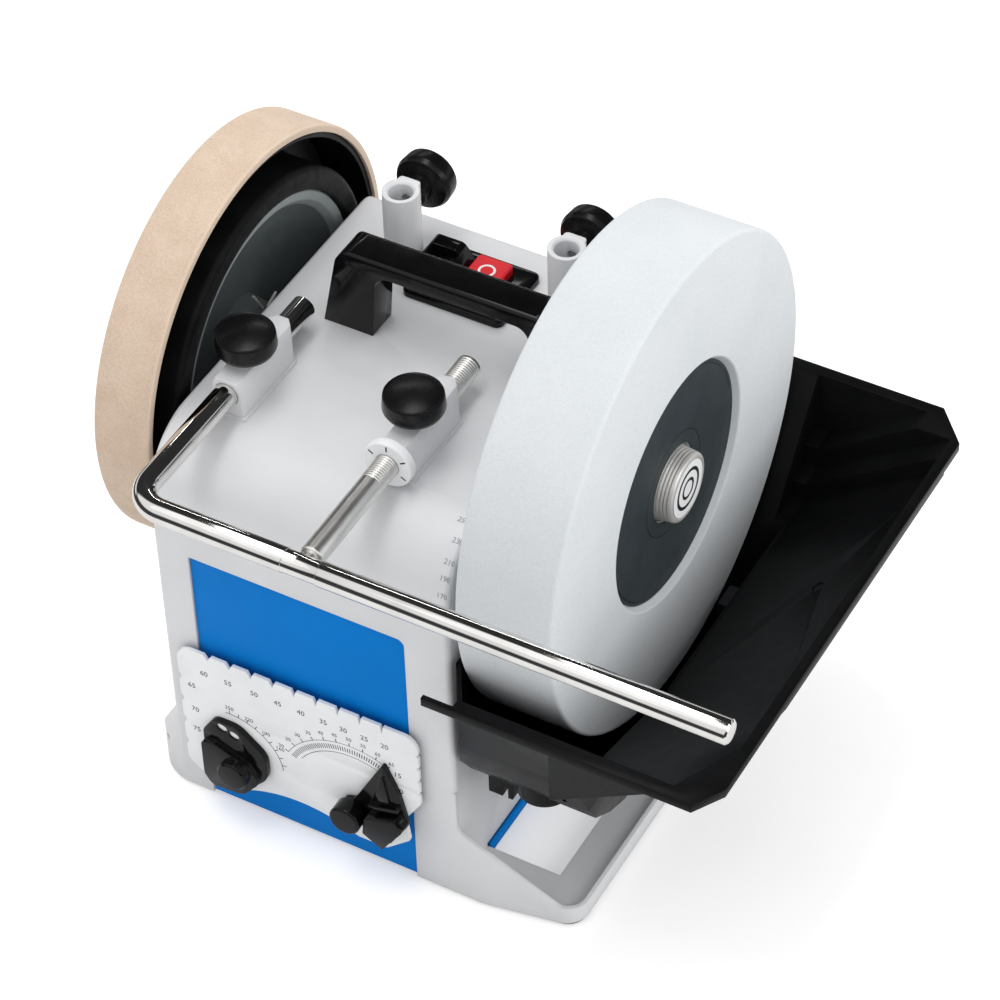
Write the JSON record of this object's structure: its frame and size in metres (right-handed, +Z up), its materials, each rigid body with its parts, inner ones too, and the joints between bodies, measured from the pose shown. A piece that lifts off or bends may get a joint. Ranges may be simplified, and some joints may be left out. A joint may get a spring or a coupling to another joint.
{
  "type": "wet sharpening machine",
  "caption": "Bench wet grinder with a broad slow stone over a water trough, a leather honing wheel, a sliding tool support, a carrying handle and an angle gauge.",
  "frame": {"origin": "on the bench below the middle of the machine's outline", "axes": "+X along the grinding shaft towards the stone, +Y to the back, +Z up"},
  "size_m": [0.37, 0.3115, 0.33],
  "materials": {
    "cast_grey": "satin light grey paint on a zinc casting",
    "housing_grey": "satin light grey moulded plastic",
    "blue_paint": "satin saturated blue paint on sheet steel",
    "black_plastic": "satin black moulded plastic",
    "wheel_grey": "satin mid grey moulded plastic",
    "rubber": "dull black rubber",
    "leather": "pale tan leather with fine grain",
    "stone": "pale blue grey bonded grit",
    "label": "dark grey printed disc",
    "bright_steel": "polished stainless steel",
    "plain_steel": "turned steel",
    "nickel": "nickel plated",
    "white_plastic": "white moulded plastic",
    "red_plastic": "glossy red",
    "green_plastic": "glossy green",
    "copper": "enamelled winding wire",
    "core_steel": "stacked sheet steel",
    "magnet": "dark sintered magnet"
  },
  "bodies": {
    "machine": {"cast_top": "cast_grey", "cabinet": "housing_grey", "blue_wrap": "blue_paint", "cable_gland": "black_plastic", "rubber_feet": "rubber", "casing_screws": "plain_steel", "carry_handle": "black_plastic", "handle_bolts": "plain_steel", "switch_housing": "black_plastic", "bush_left": "black_plastic", "bush_right": "black_plastic", "motor_hinge_rod": "plain_steel", "gauge_plate": "white_plastic", "gauge_magnets": "magnet"},
    "grinding_shaft": {"main_shaft": "bright_steel", "stone": "stone", "stone_label": "label", "stone_inner_flange": "plain_steel", "stone_outer_washer": "plain_steel", "drive_wheel": "wheel_grey", "drive_rubber": "rubber", "hone_cup": "black_plastic", "leather_tread": "leather"},
    "stone_nut": {"stone_nut": "nickel"},
    "hone_knob": {"hone_knob": "black_plastic"},
    "motor": {"motor_stator": "core_steel", "motor_windings": "copper", "motor_bell_drive": "plain_steel", "motor_bell_rear": "plain_steel", "motor_bearings": "plain_steel", "motor_bracket": "plain_steel", "motor_spring": "plain_steel"},
    "rotor": {"rotor_core": "core_steel", "motor_shaft": "plain_steel", "cooling_fan": "black_plastic"},
    "support": {"support_bar": "bright_steel", "support_threaded_leg": "nickel"},
    "micro_nut": {"micro_nut": "white_plastic"},
    "lock_front_left": {"lock_knob_front_left": "black_plastic", "lock_screw_front_left": "plain_steel"},
    "lock_front_right": {"lock_knob_front_right": "black_plastic", "lock_screw_front_right": "plain_steel"},
    "lock_rear_left": {"lock_knob_rear_left": "black_plastic", "lock_screw_rear_left": "plain_steel"},
    "lock_rear_right": {"lock_knob_rear_right": "black_plastic", "lock_screw_rear_right": "plain_steel"},
    "trough": {"trough": "black_plastic", "trough_magnet": "magnet", "trough_hooks": "black_plastic"},
    "stop_button": {"stop_button": "red_plastic"},
    "start_button": {"start_button": "green_plastic"},
    "gauge_dial": {"gauge_dial": "black_plastic"},
    "gauge_pointer": {"gauge_pointer": "black_plastic", "pointer_knob": "black_plastic"}
  },
  "joints": [
    {"name": "shaft_spin", "type": "hinge", "parent": "machine", "child": "grinding_shaft", "pos_m": [-0.052, 0.01225, 0.205], "axis": [1, 0, 0], "continuous": true},
    {"name": "stone_nut_turn", "type": "hinge", "parent": "grinding_shaft", "child": "stone_nut", "pos_m": [0.078, 0.01225, 0.205], "axis": [1, 0, 0], "range_deg": [0, 720]},
    {"name": "hone_knob_turn", "type": "hinge", "parent": "grinding_shaft", "child": "hone_knob", "pos_m": [-0.181, 0.01225, 0.205], "axis": [-1, 0, 0], "range_deg": [0, 720]},
    {"name": "motor_swing", "type": "hinge", "parent": "machine", "child": "motor", "pos_m": [-0.077, -0.04975, 0.055], "axis": [-1, 0, 0], "range_deg": [0, 1], "stiffness_Nm_per_rad": 60, "springref_deg": -8.02, "deforming": ["motor_spring"]},
    {"name": "rotor_spin", "type": "hinge", "parent": "motor", "child": "rotor", "pos_m": [-0.077, 0.0362, 0.11563], "axis": [1, 0, 0], "continuous": true},
    {"name": "support_slide", "type": "slide", "parent": "machine", "child": "support", "axis": [0, -1, 0], "range_m": [0, 0.05]},
    {"name": "micro_nut_turn", "type": "hinge", "parent": "support", "child": "micro_nut", "pos_m": [-0.026, -0.07375, 0.247], "axis": [0, 1, 0], "continuous": true},
    {"name": "lock_front_left_turn", "type": "hinge", "parent": "machine", "child": "lock_front_left", "pos_m": [-0.116, -0.05075, 0.26], "axis": [0, 0, 1], "range_deg": [0, 720]},
    {"name": "lock_front_right_turn", "type": "hinge", "parent": "machine", "child": "lock_front_right", "pos_m": [-0.026, -0.05075, 0.26], "axis": [0, 0, 1], "range_deg": [0, 720]},
    {"name": "lock_rear_left_turn", "type": "hinge", "parent": "machine", "child": "lock_rear_left", "pos_m": [-0.098, 0.08225, 0.2686], "axis": [0, 1, 0], "range_deg": [0, 720]},
    {"name": "lock_rear_right_turn", "type": "hinge", "parent": "machine", "child": "lock_rear_right", "pos_m": [-0.008, 0.08225, 0.2686], "axis": [0, 1, 0], "range_deg": [0, 720]},
    {"name": "trough_lift", "type": "slide", "parent": "machine", "child": "trough", "axis": [0, 0, 1], "range_m": [-0.03, 0]},
    {"name": "stop_press", "type": "slide", "parent": "machine", "child": "stop_button", "axis": [0, 0, -1], "range_m": [0, 0.003], "stiffness_N_per_m": 500, "springref_m": -0.001},
    {"name": "start_press", "type": "slide", "parent": "machine", "child": "start_button", "axis": [0, 0, -1], "range_m": [0, 0.003], "stiffness_N_per_m": 500, "springref_m": -0.001},
    {"name": "gauge_dial_turn", "type": "hinge", "parent": "machine", "child": "gauge_dial", "pos_m": [-0.104, -0.11175, 0.044], "axis": [0, 1, 0], "range_deg": [-20, 20]},
    {"name": "gauge_pointer_turn", "type": "hinge", "parent": "machine", "child": "gauge_pointer", "pos_m": [-0.034, -0.11175, 0.043], "axis": [0, -1, 0], "range_deg": [0, 85]}
  ],
  "couplings": [
    {"joint": "rotor_spin", "follows": "shaft_spin", "ratio": -15.818}
  ]
}
